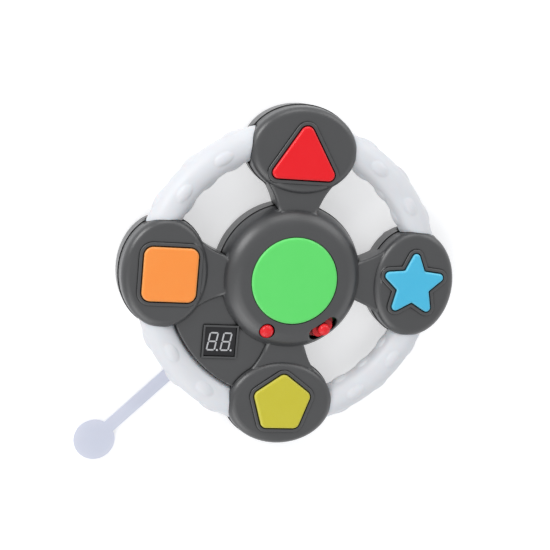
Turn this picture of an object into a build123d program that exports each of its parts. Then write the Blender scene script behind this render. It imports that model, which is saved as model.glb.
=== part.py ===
from build123d import *
from math import cos, pi, radians, sin, tan
import os

# Electronic memory game in the form of a steering wheel, in millimetres.
# It lies on its back with its face up: +Z out of the face, +Y towards the triangle button,
# +X towards the star button, origin at the centre of the flat back.

# Driving dimensions: heights above the back
parting_height = 11.5
lobe_face_height = 21.0
neck_face_height = 19.0
web_face_height = 17.4
hub_face_height = 24.0
shell_wall = 2.0

# Driving dimensions: plan of the housing, whose lobes are threaded on the ring of the grips
ring_radius = 67.1
grip_tube_radius = 7.7
lobe_set_in = 5.7
lobe_centre_radius = ring_radius - lobe_set_in
lobe_radial_half = 20.5
lobe_tangent_half = 25.9
hub_crown_radius = 25.0
hub_base_radius = 35.4
web_outer_radius = 59.8

# Driving dimensions: buttons, to their corners before these are rounded, each set in from its lobe's centre
triangle_top = 18.6
triangle_foot = 9.65
triangle_half_base = 17.4
triangle_set_in = 3.7
square_half = 12.9
square_set_in = 1.9
star_tip_radius = 18.4
star_notch_radius = 8.6
star_set_in = 0.9
pentagon_radius = 15.2
pentagon_set_in = 0.3
centre_button_radius = 20.9
button_face_height = 23.0
centre_face_height = 24.9
button_travel = 1.5

# Clearances and the one overrun that every cut uses
overrun = 1.0
button_gap = 0.35
fit_gap = 0.2
running_gap = 0.3

lobe_count = 4
lobe_pitch_angle = 360 / lobe_count
tip_count = 5

os.makedirs("parts", exist_ok=True)


def save(piece, name):
    """Labels a finished piece and writes it as one file."""
    piece.label = name
    export_step(piece, f"parts/{name}.step")


# Outlines of the five big buttons, each drawn about its own centre
square_corner = 4.2
triangle_corner = 2.9
triangle_apex_corner = 3.4
pentagon_corner = 3.2
star_tip_round = 2.0
star_notch_round = 1.1

with BuildSketch() as triangle_outline:
    Polygon((0, triangle_top), (-triangle_half_base, -triangle_foot), (triangle_half_base, -triangle_foot),
            align=None)
    fillet(triangle_outline.vertices().sort_by(Axis.Y)[-1], triangle_apex_corner)
    fillet(triangle_outline.vertices().sort_by(Axis.Y)[:2], triangle_corner)

with BuildSketch() as square_outline:
    Rectangle(2 * square_half, 2 * square_half)
    fillet(square_outline.vertices(), square_corner)

with BuildSketch() as pentagon_outline:
    RegularPolygon(pentagon_radius, side_count=tip_count, rotation=90)
    fillet(pentagon_outline.vertices(), pentagon_corner)

star_points = []
for step in range(2 * tip_count):
    point_radius = star_tip_radius if step % 2 == 0 else star_notch_radius
    point_angle = pi / 2 + step * pi / tip_count
    star_points.append((point_radius * cos(point_angle), point_radius * sin(point_angle)))

with BuildSketch() as star_outline:
    Polygon(*star_points, align=None)
    fillet(star_outline.vertices().filter_by(lambda v: Vector(v).length > star_notch_radius + overrun),
           star_tip_round)
    fillet(star_outline.vertices().filter_by(lambda v: Vector(v).length < star_notch_radius + fit_gap),
           star_notch_round)

with BuildSketch() as centre_outline:
    Circle(centre_button_radius)

triangle_place = (0, lobe_centre_radius - triangle_set_in)
square_place = (square_set_in - lobe_centre_radius, 0)
star_place = (lobe_centre_radius - star_set_in, 0)
pentagon_place = (0, pentagon_set_in - lobe_centre_radius)
centre_place = (0, 0)


def grown(outline, amount):
    """Gives an outline grown or shrunk evenly by a length."""
    with BuildSketch() as result:
        add(outline)
        offset(amount=amount)
    return result.sketch


# Housing forms: the lobes that carry the buttons, drawn once along +X and then turned
lobe_edge_round = 3.8
lobe_back_round = 3.0
inner_round = 1.0
lobe_draft = 0.5
back_step = 0.4


def lobe_form(inset, low, high, low_grow, high_grow, face_rounding):
    """One lobe between two heights, an ellipse in plan, rounded at the end away from the parting."""
    with BuildPart() as lobe:
        for height, grow in ((low, low_grow), (high, high_grow)):
            with BuildSketch(Plane.XY.offset(height)):
                with Locations((lobe_centre_radius, 0)):
                    Ellipse(lobe_radial_half + grow - inset, lobe_tangent_half + grow - inset)
        loft()
        face_end = high if abs(high - parting_height) > abs(low - parting_height) else low
        face_edges = lobe.edges().filter_by_position(Axis.Z, face_end, face_end)
        fillet(face_edges, face_rounding)
    return lobe.part


# Housing forms: the necks that bridge the hub and the lobes, straight and then flared into the lobe
neck_buried = 8.4
neck_start_half = 7.2
neck_flare_radius = 37.0
neck_flare_half = 11.2
neck_lobe_half = 19.6
neck_lap = 7.9
neck_edge_round = 1.5
neck_back_height = 5.0
neck_start_radius = hub_base_radius - neck_buried
neck_end_radius = lobe_centre_radius - lobe_radial_half + neck_lap


def neck_form(inset, low, high):
    """One neck between two heights, whose sides flare in an arc where they meet the lobe."""
    with BuildPart() as neck:
        with BuildSketch(Plane.XY.offset(low)):
            with BuildLine():
                side = Line((neck_start_radius, neck_start_half - inset),
                            (neck_flare_radius, neck_flare_half - inset))
                flare_end = (neck_end_radius, neck_lobe_half - inset)
                TangentArc(side @ 1, flare_end, tangent=side % 1)
                Line(flare_end, (neck_end_radius, 0))
                Line((neck_start_radius, 0), side @ 0)
                mirror(about=Plane.XZ)
            make_face()
        extrude(amount=high - low)
    return neck.part


def rounded_neck(low, high, rounded_end):
    """A neck with its long edges rounded at the height that shows."""
    with BuildPart() as neck:
        add(neck_form(0, low, high))
        fillet(neck.edges().filter_by_position(Axis.Z, rounded_end, rounded_end)
               .filter_by(Axis.Y, reverse=True), neck_edge_round)
    return neck.part


# Front shell: hub dome, four lobes, four necks and the web that holds the display
web_edge_round = 1.0
web_back_height = 6.0
web_start_angle = 180
web_span_angle = lobe_pitch_angle
cove_gap = 1.0


def hub_form(inset, low):
    """The hub, turned from a half section with an elliptical shoulder and a flat crown."""
    base = hub_base_radius - inset
    crown = hub_face_height - inset
    with BuildPart() as hub:
        with BuildSketch(Plane.XZ):
            with BuildLine():
                if low < parting_height:
                    Polyline((0, low), (base, low), (base, parting_height))
                else:
                    Line((0, low), (base, low))
                EllipticalCenterArc((hub_crown_radius, parting_height), base - hub_crown_radius,
                                    crown - parting_height, start_angle=0, arc_size=90)
                Polyline((hub_crown_radius, crown), (0, crown), (0, low))
            make_face()
        revolve(axis=Axis.Z)
    return hub.part


def web_sector(inset, low, high):
    """The web between two lobes, a sector concentric with the ring."""
    with BuildPart() as web:
        with BuildSketch(Plane.XY.offset(low)):
            with BuildLine():
                rim = CenterArc((0, 0), web_outer_radius - inset, web_start_angle, web_span_angle)
                Polyline(rim @ 1, (0, 0), rim @ 0)
            make_face()
        extrude(amount=high - low)
    return web.part


with BuildPart() as ring_cove:
    with BuildSketch(Plane.XZ):
        with Locations((ring_radius, parting_height)):
            Circle(grip_tube_radius + cove_gap)
    revolve(axis=Axis.Z)

with BuildPart() as web_top:
    add(web_sector(0, parting_height, web_face_height))
    fillet(web_top.edges().filter_by_position(Axis.Z, web_face_height, web_face_height)
           .filter_by(GeomType.CIRCLE), web_edge_round)
    add(ring_cove.part, mode=Mode.SUBTRACT)

with BuildPart() as web_bottom:
    add(web_sector(0, web_back_height, parting_height))
    fillet(web_bottom.edges().filter_by_position(Axis.Z, web_back_height, web_back_height)
           .filter_by(GeomType.CIRCLE), web_edge_round)
    add(ring_cove.part, mode=Mode.SUBTRACT)

with BuildPart() as front_form:
    add(hub_form(0, parting_height))
    with PolarLocations(0, lobe_count):
        add(lobe_form(0, parting_height, lobe_face_height, lobe_draft, 0, lobe_edge_round))
        add(rounded_neck(parting_height, neck_face_height, neck_face_height))
    add(web_top.part)

with BuildPart() as front_cavity:
    add(hub_form(shell_wall, parting_height - overrun))
    with PolarLocations(0, lobe_count):
        add(lobe_form(shell_wall, parting_height - overrun, lobe_face_height - shell_wall,
                      lobe_draft, 0, inner_round))
        add(neck_form(shell_wall, parting_height - overrun, neck_face_height - shell_wall))
    add(web_sector(grip_tube_radius + cove_gap + shell_wall - (ring_radius - web_outer_radius),
                   parting_height - overrun, web_face_height - shell_wall))

# Raised lips around the openings of the lobe buttons
lip_width = 1.8
lip_height = 0.9
lip_bed = 1.6
lip_round = 0.5
lobe_buttons = (
    (triangle_outline, triangle_place),
    (square_outline, square_place),
    (star_outline, star_place),
    (pentagon_outline, pentagon_place),
)

# Display window and its raised frame
display_distance = 45.5
display_angle = 225
display_width = 15.0
display_height = 14.0
frame_width = 0.9
frame_height = 0.9
frame_grow = fit_gap + frame_width
display_recess = 0.8
display_x = display_distance * cos(radians(display_angle))
display_y = display_distance * sin(radians(display_angle))
frame_top = web_face_height + frame_height

# Round push button and mode slot, both on the shoulder of the hub
round_button_distance = 27.3
round_button_angle = 246
round_button_radius = 3.45
slot_radius = 28.8
slot_middle_angle = 306.3
slot_half_angle = 9.2
slot_half_width = 3.3
round_collar_wall = 0.8
round_seat_height = 18.2
round_button_x = round_button_distance * cos(radians(round_button_angle))
round_button_y = round_button_distance * sin(radians(round_button_angle))
round_button_place = ((round_button_x, round_button_y),)
round_collar_radius = round_button_radius + button_gap + round_collar_wall

# Circuit boards and the bosses that hold them
board_thickness = 1.6
dome_height = 3.5
lobe_board_top = 12.6
main_board_top = 16.3
main_board_radius = 31.0
boss_radius = 2.4
screw_shank_radius = 1.0
pilot_radius = 1.05
pilot_depth = 3.9
lobe_boss_set_in = 9.0
lobe_boss_radial = lobe_centre_radius - lobe_boss_set_in
lobe_boss_tangent = 19.2
hub_boss_distance = 27.2
hub_boss_angles = (38, 142, 205, 335)
display_module_depth = 6.0
display_face_height = frame_top - display_recess
display_board_top = display_face_height - display_module_depth
display_boss_radius = 2.0
display_boss_offset = 2.7
display_boss_places = (
    (display_x + display_width / 2 + display_boss_offset, display_y - display_height / 4),
    (display_x - display_width / 4, display_y + display_height / 2 + display_boss_offset),
)
hub_boss_places = [(hub_boss_distance * cos(radians(a)), hub_boss_distance * sin(radians(a)))
                   for a in hub_boss_angles]

# Lobe bosses in the plan of the first lobe, and of all four
lobe_boss_pair = ((lobe_boss_radial, lobe_boss_tangent), (lobe_boss_radial, -lobe_boss_tangent))
lobe_boss_places = []
for turn in range(lobe_count):
    turn_angle = turn * 2 * pi / lobe_count
    for boss_x, boss_y in lobe_boss_pair:
        lobe_boss_places.append((boss_x * cos(turn_angle) - boss_y * sin(turn_angle),
                                 boss_x * sin(turn_angle) + boss_y * cos(turn_angle)))

# Tunnels through the lobe walls for the ends of the four grips
tunnel_gap = 0.25
grip_end_angle = 16.5
tunnel_end_angle = 14.5

with BuildPart() as grip_tunnels:
    with BuildSketch(Plane.XZ):
        with Locations((ring_radius, parting_height)):
            Circle(grip_tube_radius + tunnel_gap)
    revolve(axis=Axis.Z, revolution_arc=lobe_pitch_angle - 2 * tunnel_end_angle)

with BuildPart() as front_shell:
    add(front_form.part)
    add(front_cavity.part, mode=Mode.SUBTRACT)
    for outline, place in lobe_buttons:
        with BuildPart(mode=Mode.PRIVATE) as lip:
            with BuildSketch(Plane.XY.offset(lobe_face_height - lip_bed)):
                with Locations(place):
                    add(grown(outline.sketch, button_gap + lip_width))
                    add(grown(outline.sketch, button_gap), mode=Mode.SUBTRACT)
            extrude(amount=lip_bed + lip_height)
            fillet(lip.faces().sort_by(Axis.Z)[-1].edges(), lip_round)
        add(lip.part)
    for outline, place in lobe_buttons + ((centre_outline, centre_place),):
        with BuildSketch(Plane.XY.offset(lobe_face_height - 2 * shell_wall)):
            with Locations(place):
                add(grown(outline.sketch, button_gap))
        extrude(amount=hub_face_height, mode=Mode.SUBTRACT)
    with BuildSketch(Plane.XY.offset(web_face_height - shell_wall)):
        with Locations((display_x, display_y)):
            Rectangle(display_width + 2 * frame_grow, display_height + 2 * frame_grow)
    extrude(amount=shell_wall + frame_height)
    with BuildSketch(Plane.XY.offset(parting_height)):
        with Locations((display_x, display_y)):
            Rectangle(display_width + 2 * fit_gap, display_height + 2 * fit_gap)
    extrude(amount=hub_face_height, mode=Mode.SUBTRACT)
    # Bosses for the boards and the guide collar of the round button, trimmed to the shell above them
    with BuildPart(mode=Mode.PRIVATE) as bosses:
        for places, foot, radius in ((lobe_boss_places, lobe_board_top, boss_radius),
                                     (hub_boss_places, main_board_top, boss_radius),
                                     (display_boss_places, display_board_top, display_boss_radius),
                                     (round_button_place, round_seat_height, round_collar_radius)):
            with BuildSketch(Plane.XY.offset(foot)):
                with Locations(*places):
                    Circle(radius)
            extrude(amount=hub_face_height - foot)
        add(front_form.part, mode=Mode.INTERSECT)
    add(bosses.part)
    # Hole of the round push button
    with BuildSketch(Plane.XY.offset(round_seat_height - overrun)):
        with Locations((round_button_x, round_button_y)):
            Circle(round_button_radius + button_gap)
    extrude(amount=hub_face_height, mode=Mode.SUBTRACT)
    # Mode slot, an arc about the centre of the toy
    with BuildSketch(Plane.XY.offset(main_board_top)):
        SlotArc(CenterArc((0, 0), slot_radius, slot_middle_angle - slot_half_angle, 2 * slot_half_angle,
                          mode=Mode.PRIVATE), 2 * slot_half_width)
    extrude(amount=hub_face_height, mode=Mode.SUBTRACT)
    # Pilot holes for the screws
    for boss_places, boss_foot in ((lobe_boss_places, lobe_board_top), (hub_boss_places, main_board_top),
                                   (display_boss_places, display_board_top)):
        with BuildSketch(Plane.XY.offset(boss_foot - overrun)):
            with Locations(*boss_places):
                Circle(pilot_radius)
        extrude(amount=pilot_depth + overrun, mode=Mode.SUBTRACT)
    with PolarLocations(0, lobe_count, start_angle=tunnel_end_angle):
        add(grip_tunnels.part, mode=Mode.SUBTRACT)

save(front_shell.part, "front_shell")

# Batteries and the box that holds them, three small cells side by side
cell_radius = 5.25
cell_length = 44.5
cell_nub_radius = 1.9
cell_nub_length = 0.8
cell_pitch = 10.9
cell_count = 3
cell_axis_height = 7.95
contact_thickness = 0.4
spring_length = 2.2
box_wall = 1.2
box_roof = 0.9
box_slack = 0.15
box_half_width = cell_count * cell_pitch / 2 + box_slack
box_half_length = cell_length / 2 + spring_length + contact_thickness
box_roof_height = cell_axis_height + cell_radius + running_gap
box_top_height = box_roof_height + box_roof

# Battery door, a flat cover let into the back and held by a screw at each end
door_ledge_height = 1.8
door_lap = 0.9
pocket_grow = door_lap + running_gap
door_ear_radius = 2.8
door_ear_reach = 28.2
door_post_radius = 2.6
door_post_height = 8.0
door_corner = 2.0
door_places = ((0, door_ear_reach), (0, -door_ear_reach))

# Speaker under the triangle board, facing the holes in the back
speaker_radius = 13.5
speaker_depth = 6.5
speaker_set_out = 1.6
speaker_reach = lobe_centre_radius + speaker_set_out
speaker_flange = 1.2
magnet_radius = 8.0
magnet_depth = 3.0
collar_wall = 1.2
collar_depth = 3.0
speaker_hole_radius = 1.0
speaker_rings = ((4.0, 6), (8.0, 12))

# Pull tab, a strip laid under the first battery, drawn out between two lobes
tab_angle = 225
tab_thickness = 0.3
tab_foot = door_ledge_height + running_gap
tab_width = 6.5
tab_inner_radius = 17.0
tab_end_radius = 10.0
tab_end_distance = 122.5

# Back shell: a tray of the same plan, standing out by a small step, with the battery box
column_radius = 3.6
screw_recess_radius = 2.5
screw_recess_depth = 4.8
screw_clear_radius = 1.25
back_parting_grow = lobe_draft + back_step


def back_hub(inset, low, high):
    """The round tray of the hub."""
    with BuildPart() as hub:
        with BuildSketch(Plane.XY.offset(low)):
            Circle(hub_base_radius + back_step - inset)
        extrude(amount=high - low)
        fillet(hub.edges().filter_by_position(Axis.Z, low, low), lobe_back_round - inset / 2)
    return hub.part


web_cavity_inset = grip_tube_radius + cove_gap + shell_wall - (ring_radius - web_outer_radius)

with BuildPart() as back_cavity:
    add(back_hub(shell_wall, shell_wall, parting_height + overrun))
    with PolarLocations(0, lobe_count):
        add(lobe_form(shell_wall, shell_wall, parting_height + overrun, back_step, back_parting_grow,
                      inner_round))
        add(neck_form(shell_wall, neck_back_height + shell_wall, parting_height + overrun))
    add(web_sector(web_cavity_inset, web_back_height + shell_wall, parting_height + overrun))

with BuildPart() as back_shell:
    add(back_hub(0, 0, parting_height))
    with PolarLocations(0, lobe_count):
        add(lobe_form(0, 0, parting_height, back_step, back_parting_grow, lobe_back_round))
        add(rounded_neck(neck_back_height, parting_height, neck_back_height))
    add(web_bottom.part)
    add(back_cavity.part, mode=Mode.SUBTRACT)
    # Columns that clamp the lobe boards, and posts for the door screws
    with BuildSketch(Plane.XY.offset(shell_wall / 2)):
        with Locations(*lobe_boss_places):
            Circle(column_radius)
    extrude(amount=lobe_board_top - board_thickness - shell_wall / 2)
    with BuildSketch(Plane.XY.offset(door_ledge_height)):
        with Locations(*door_places):
            Circle(door_post_radius)
    extrude(amount=door_post_height - door_ledge_height)
    # Battery box with its roof
    with BuildSketch(Plane.XY.offset(door_ledge_height)):
        Rectangle(2 * (box_half_width + box_wall), 2 * (box_half_length + box_wall))
    extrude(amount=box_top_height - door_ledge_height)
    with BuildSketch():
        Rectangle(2 * box_half_width, 2 * box_half_length)
    extrude(amount=box_roof_height, mode=Mode.SUBTRACT)
    # Pocket for the door and its two ears
    with BuildSketch() as door_pocket:
        Rectangle(2 * (box_half_width + pocket_grow), 2 * (box_half_length + pocket_grow))
        fillet(door_pocket.vertices(), door_corner + running_gap)
        with Locations(*door_places):
            Circle(door_ear_radius + running_gap)
    extrude(amount=door_ledge_height, mode=Mode.SUBTRACT)
    # Collar and holes of the speaker
    with BuildSketch(Plane.XY.offset(shell_wall)):
        with Locations((0, speaker_reach)):
            Circle(speaker_radius + fit_gap + collar_wall)
            Circle(speaker_radius + fit_gap, mode=Mode.SUBTRACT)
    extrude(amount=collar_depth)
    with BuildSketch():
        with Locations((0, speaker_reach)):
            Circle(speaker_hole_radius)
            for ring, holes in speaker_rings:
                with PolarLocations(ring, holes):
                    Circle(speaker_hole_radius)
    extrude(amount=shell_wall, mode=Mode.SUBTRACT)
    # Recesses and holes of the shell screws, and pilot holes of the door screws
    with Locations(*lobe_boss_places):
        with Locations(Location((0, 0, 0), (180, 0, 0))):
            CounterBoreHole(screw_clear_radius, screw_recess_radius, screw_recess_depth,
                            depth=parting_height + overrun)
    with BuildSketch():
        with Locations(*door_places):
            Circle(pilot_radius)
    extrude(amount=door_post_height - overrun, mode=Mode.SUBTRACT)
    # Slit for the pull tab, and the tunnels of the grips
    with BuildSketch(Plane.XY.offset(door_ledge_height)):
        with Locations(Location((0, 0, 0), (0, 0, tab_angle))):
            with Locations(((tab_inner_radius + hub_base_radius) / 2 + overrun, 0)):
                Rectangle(hub_base_radius - tab_inner_radius + 2 * overrun, tab_width + 2 * running_gap)
    extrude(amount=tab_thickness + 2 * running_gap, mode=Mode.SUBTRACT)
    with PolarLocations(0, lobe_count, start_angle=tunnel_end_angle):
        add(grip_tunnels.part, mode=Mode.SUBTRACT)

save(back_shell.part, "back_shell")

# Battery door and its two screws
door_screw_head_radius = 1.9
door_screw_head = 0.9
door_screw_seat = 1.1
door_screw_length = 5.0

with BuildPart() as battery_door:
    with BuildSketch() as door_plan:
        Rectangle(2 * (box_half_width + door_lap), 2 * (box_half_length + door_lap))
        fillet(door_plan.vertices(), door_corner)
        with Locations(*door_places):
            Circle(door_ear_radius)
    extrude(amount=door_ledge_height)
    with BuildSketch():
        with Locations(*door_places):
            Circle(door_screw_head_radius + fit_gap)
    extrude(amount=door_screw_seat, mode=Mode.SUBTRACT)
    with BuildSketch():
        with Locations(*door_places):
            Circle(screw_clear_radius)
    extrude(amount=door_ledge_height, mode=Mode.SUBTRACT)

save(battery_door.part, "battery_door")

with BuildPart() as door_screws:
    with BuildSketch(Plane.XY.offset(door_screw_seat - door_screw_head)):
        with Locations(*door_places):
            Circle(door_screw_head_radius)
    extrude(amount=door_screw_head)
    with BuildSketch(Plane.XY.offset(door_screw_seat)):
        with Locations(*door_places):
            Circle(screw_shank_radius)
    extrude(amount=door_screw_length)

save(door_screws.part, "battery_door_screws")

# Three cells, the middle one turned end for end
cell_places = []
for number in range(cell_count):
    cell_x = (number - (cell_count - 1) / 2) * cell_pitch
    cell_places.append((cell_x, 1 if number % 2 == 0 else -1))

for (cell_x, heading), cell_name in zip(cell_places, ("battery_left", "battery_middle", "battery_right")):
    with BuildPart() as cell:
        with BuildSketch(Plane.XZ.offset(heading * cell_length / 2)):
            with Locations((cell_x, cell_axis_height)):
                Circle(cell_radius)
        extrude(amount=-heading * (cell_length - cell_nub_length))
        with BuildSketch(Plane.XZ.offset(-heading * (cell_length / 2 - cell_nub_length))):
            with Locations((cell_x, cell_axis_height)):
                Circle(cell_nub_radius)
        extrude(amount=-heading * cell_nub_length)
    save(cell.part, cell_name)

# Battery contacts: a plate and a conical spring at each flat end, a dimpled plate at each nub
contact_width = 8.6
contact_height = 8.6
spring_base_radius = 3.4
spring_tip_radius = 2.2
dimple_radius = 2.4

for group_name, sign, base_radius, tip_radius in (
        ("battery_springs", 1, spring_base_radius, spring_tip_radius),
        ("battery_contacts", -1, dimple_radius, dimple_radius)):
    with BuildPart() as contacts:
        for cell_x, heading in cell_places:
            side = sign * heading
            with BuildSketch(Plane.XZ.offset(side * box_half_length)):
                with Locations((cell_x, cell_axis_height)):
                    Rectangle(contact_width, contact_height)
            extrude(amount=-side * contact_thickness)
            with BuildSketch(Plane.XZ.offset(side * (box_half_length - contact_thickness))):
                with Locations((cell_x, cell_axis_height)):
                    Circle(base_radius)
            with BuildSketch(Plane.XZ.offset(side * cell_length / 2)):
                with Locations((cell_x, cell_axis_height)):
                    Circle(tip_radius)
            loft()
    save(contacts.part, group_name)

# Speaker: flange, basket and magnet, turned in one profile about its own axis
with BuildPart() as speaker:
    with BuildSketch(Plane.XZ):
        with BuildLine():
            Polyline((0, shell_wall), (speaker_radius, shell_wall),
                     (speaker_radius, shell_wall + speaker_flange),
                     (magnet_radius, shell_wall + speaker_depth - magnet_depth),
                     (magnet_radius, shell_wall + speaker_depth),
                     (0, shell_wall + speaker_depth), (0, shell_wall))
        make_face()
    revolve(axis=Axis.Z)

with BuildPart() as placed_speaker:
    with Locations((0, speaker_reach, 0)):
        add(speaker.part)

save(placed_speaker.part, "speaker")

# Grips: four hollow blow-moulded arcs with rows of oval bumps, their ends held in the lobes
grip_bore_radius = 6.0
bump_rise = 1.0
bump_half_width = 3.6
bump_half_length = 7.3
outer_bump_pitch = 17.8
inner_bump_pitch = 13.5
face_bump_pitch = 20.9
arc_middle_angle = lobe_pitch_angle / 2
bump_seat = grip_tube_radius + bump_rise - bump_half_width
grip_span = lobe_pitch_angle - 2 * grip_end_angle
bump_rows = ((0, outer_bump_pitch, 3), (180, inner_bump_pitch, 3),
             (90, face_bump_pitch, 2), (270, face_bump_pitch, 2))

with BuildPart() as bump:
    with BuildSketch():
        Ellipse(bump_half_width, bump_half_length)
        with Locations((-bump_half_width, 0)):
            Rectangle(2 * bump_half_width, 2 * bump_half_length, mode=Mode.SUBTRACT)
    revolve(axis=Axis.Y)

bump_places = []
for roll, pitch_angle, count in bump_rows:
    for number in range(count):
        step = number - (count - 1) / 2
        turn = Location((0, 0, 0), (0, 0, arc_middle_angle + step * pitch_angle))
        tube = Location((ring_radius, 0, parting_height), (0, roll, 0))
        bump_places.append(turn * tube * Location((bump_seat, 0, 0)))

with BuildPart() as grip_form:
    with BuildSketch(Plane.XZ.rotated((0, 0, grip_end_angle))):
        with Locations((ring_radius, parting_height)):
            Circle(grip_tube_radius)
    revolve(axis=Axis.Z, revolution_arc=grip_span)
    with Locations(*bump_places):
        add(bump.part)
    with BuildSketch(Plane.XZ):
        with Locations((ring_radius, parting_height)):
            Circle(grip_bore_radius)
    revolve(axis=Axis.Z, mode=Mode.SUBTRACT)

grip_names = ("grip_upper_right", "grip_upper_left", "grip_lower_left", "grip_lower_right")
for number, grip_name in enumerate(grip_names):
    with BuildPart() as grip:
        with Locations(Location((0, 0, 0), (0, 0, number * lobe_pitch_angle))):
            add(grip_form.part)
    save(grip.part, grip_name)

# Big buttons: a hollow cap, a flange that keeps it in, and a ring that presses the dome
cap_wall = 1.8
cap_depth = 6.8
cap_round = 1.3
flange_width = 1.4
flange_thickness = 1.2
press_outer_radius = 6.0
press_inner_radius = 4.6


def big_button(outline, place, face_height, seat_height, board_top, room, name):
    """One cap, drawn from its outline, with its flange against the shell and inside the room there."""
    skirt_foot = max(face_height - cap_depth, board_top + button_travel + running_gap)
    with BuildPart() as cap:
        with BuildSketch(Plane.XY.offset(skirt_foot)):
            with Locations(place):
                add(outline.sketch)
        extrude(amount=face_height - skirt_foot)
        fillet(cap.faces().sort_by(Axis.Z)[-1].edges(), cap_round)
        with BuildSketch(Plane.XY.offset(seat_height - flange_thickness)):
            with Locations(place):
                add(grown(outline.sketch, flange_width))
            add(room, mode=Mode.INTERSECT)
        extrude(amount=flange_thickness)
        with BuildSketch(Plane.XY.offset(skirt_foot)):
            with Locations(place):
                add(grown(outline.sketch, -cap_wall))
        extrude(amount=face_height - cap_wall - skirt_foot, mode=Mode.SUBTRACT)
        with BuildSketch(Plane.XY.offset(board_top + dome_height)):
            with Locations(place):
                Circle(press_outer_radius)
                Circle(press_inner_radius, mode=Mode.SUBTRACT)
        extrude(amount=face_height - cap_wall / 2 - board_top - dome_height)
    save(cap.part, name)


lobe_seat = lobe_face_height - shell_wall
hub_seat = hub_face_height - shell_wall
room_inset = shell_wall + inner_round + running_gap

with BuildSketch() as lobe_room:
    with PolarLocations(0, lobe_count):
        with Locations((lobe_centre_radius, 0)):
            Ellipse(lobe_radial_half - room_inset, lobe_tangent_half - room_inset)

with BuildSketch() as hub_room:
    Circle(hub_crown_radius)

lobe_parts = (
    ("triangle", triangle_outline, triangle_place),
    ("square", square_outline, square_place),
    ("star", star_outline, star_place),
    ("pentagon", pentagon_outline, pentagon_place),
)
for shape, outline, place in lobe_parts:
    big_button(outline, place, button_face_height, lobe_seat, lobe_board_top, lobe_room.sketch,
               shape + "_button")
big_button(centre_outline, centre_place, centre_face_height, hub_seat, main_board_top, hub_room.sketch,
           "centre_button")

# Silicone domes under the big buttons, and the lamps inside them
dome_base_radius = 8.0
dome_base_thickness = 0.8
dome_bore_radius = 4.4
dome_skirt = 0.6
dome_head_outer = 5.9
dome_head_inner = 4.7
dome_head_thickness = 1.0
lamp_radius = 2.5
lamp_flange_radius = 2.9
lamp_flange = 1.0
lamp_height = 4.8


def dome_ring(place, board_top, name):
    """A ring of silicone: flat base, thin conical wall, and a head that the cap presses."""
    cone_foot = dome_base_radius - dome_skirt
    with BuildPart() as dome:
        with BuildSketch(Plane.XZ):
            with BuildLine():
                Polyline((dome_bore_radius, 0), (dome_base_radius, 0),
                         (dome_base_radius, dome_base_thickness), (cone_foot, dome_base_thickness),
                         (dome_head_outer, dome_height - dome_head_thickness),
                         (dome_head_outer, dome_height), (dome_head_inner, dome_height),
                         (dome_head_inner, dome_height - dome_head_thickness),
                         (cone_foot - dome_skirt, dome_base_thickness),
                         (dome_bore_radius, dome_base_thickness), (dome_bore_radius, 0))
            make_face()
        revolve(axis=Axis.Z)
    with BuildPart() as placed:
        with Locations((*place, board_top)):
            add(dome.part)
    save(placed.part, name)


def lamp(place, board_top, name):
    """A round lamp with a flanged foot and a domed head."""
    with BuildPart() as led:
        with BuildSketch(Plane.XY.offset(board_top)):
            with Locations(place):
                Circle(lamp_flange_radius)
        extrude(amount=lamp_flange)
        with BuildSketch(Plane.XY.offset(board_top)):
            with Locations(place):
                Circle(lamp_radius)
        extrude(amount=lamp_height)
        fillet(led.faces().sort_by(Axis.Z)[-1].edges(), lamp_radius - fit_gap)
    save(led.part, name)


for shape, outline, place in lobe_parts:
    dome_ring(place, lobe_board_top, shape + "_dome")
    lamp(place, lobe_board_top, shape + "_lamp")
dome_ring(centre_place, main_board_top, "centre_dome")
lamp(centre_place, main_board_top, "centre_lamp")

# Circuit boards: one under each lobe button, and the round main board in the hub
board_edge_gap = 2.2
board_notch_set_in = 6.9
board_notch_radial = lobe_centre_radius - board_notch_set_in
board_notch_tangent = (ring_radius - grip_tube_radius) * sin(radians(grip_end_angle)) - 2 * running_gap

lobe_turns = {shape: number * lobe_pitch_angle
              for number, shape in enumerate(("star", "triangle", "square", "pentagon"))}

with BuildPart() as lobe_board:
    with BuildSketch(Plane.XY.offset(lobe_board_top - board_thickness)):
        with Locations((lobe_centre_radius, 0)):
            Ellipse(lobe_radial_half - board_edge_gap, lobe_tangent_half - board_edge_gap)
        notch_reach = board_notch_tangent + lobe_radial_half
        for side in (1, -1):
            with Locations((board_notch_radial + lobe_radial_half, side * notch_reach)):
                Rectangle(2 * lobe_radial_half, 2 * lobe_radial_half, mode=Mode.SUBTRACT)
        with Locations(*lobe_boss_pair):
            Circle(screw_clear_radius, mode=Mode.SUBTRACT)
    extrude(amount=board_thickness)

for shape, turn_angle in lobe_turns.items():
    with BuildPart() as board:
        with Locations(Location((0, 0, 0), (0, 0, turn_angle))):
            add(lobe_board.part)
    save(board.part, shape + "_board")

with BuildPart() as main_board:
    with BuildSketch(Plane.XY.offset(main_board_top - board_thickness)):
        Circle(main_board_radius)
        with Locations(*hub_boss_places):
            Circle(screw_clear_radius, mode=Mode.SUBTRACT)
    extrude(amount=board_thickness)

save(main_board.part, "main_board")

# Sound chip, a bead of black resin on the main board
chip_radius = 4.0
chip_height = 1.1
chip_place = (12.0, 7.0)

with BuildPart() as sound_chip:
    with BuildSketch(Plane.XY.offset(main_board_top)):
        with Locations(chip_place):
            Circle(chip_radius)
    extrude(amount=chip_height)
    fillet(sound_chip.faces().sort_by(Axis.Z)[-1].edges(), chip_height - fit_gap)

save(sound_chip.part, "sound_chip")

# Flat ribbon cables under the boards, one through each neck, and one to the display
ribbon_thickness = 0.8
ribbon_half_width = 4.0
display_ribbon_half_width = 2.4
ribbon_lap = 2.5
ribbon_drop_run = 9.5
main_board_foot = main_board_top - board_thickness
lobe_board_foot = lobe_board_top - board_thickness


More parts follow.
